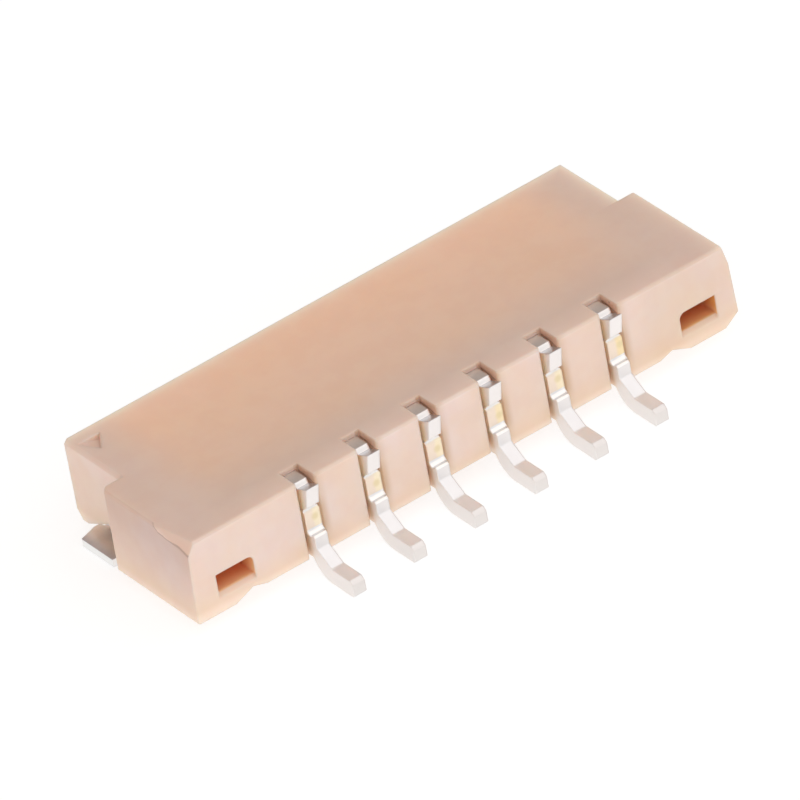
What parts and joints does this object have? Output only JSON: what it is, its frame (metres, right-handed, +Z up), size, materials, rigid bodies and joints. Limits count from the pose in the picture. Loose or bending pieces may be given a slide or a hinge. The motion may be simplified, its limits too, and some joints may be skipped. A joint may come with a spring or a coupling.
{
  "type": "lvds board connector",
  "caption": "Low right-angle surface-mount board connector: a moulded housing open at the front, a row of stepped contacts with bent tails, and a solder tab at each end.",
  "frame": {"origin": "middle of the outline on the solder plane, under the centre of the row", "axes": "+X along the row of contacts, +Y out of the mating mouth, +Z up from the board"},
  "size_m": [0.0112, 0.005, 0.0018],
  "materials": {
    "nylon": "natural nylon, satin and slightly translucent",
    "tin_contact": "bright tin plate on copper alloy",
    "tin_tab": "satin tin plate on copper alloy"
  },
  "bodies": {
    "root": {"housing": "nylon", "contact_1": "tin_contact", "contact_2": "tin_contact", "contact_3": "tin_contact", "contact_4": "tin_contact", "contact_5": "tin_contact", "contact_6": "tin_contact", "solder_tab_left": "tin_tab", "solder_tab_right": "tin_tab"}
  },
  "joints": []
}
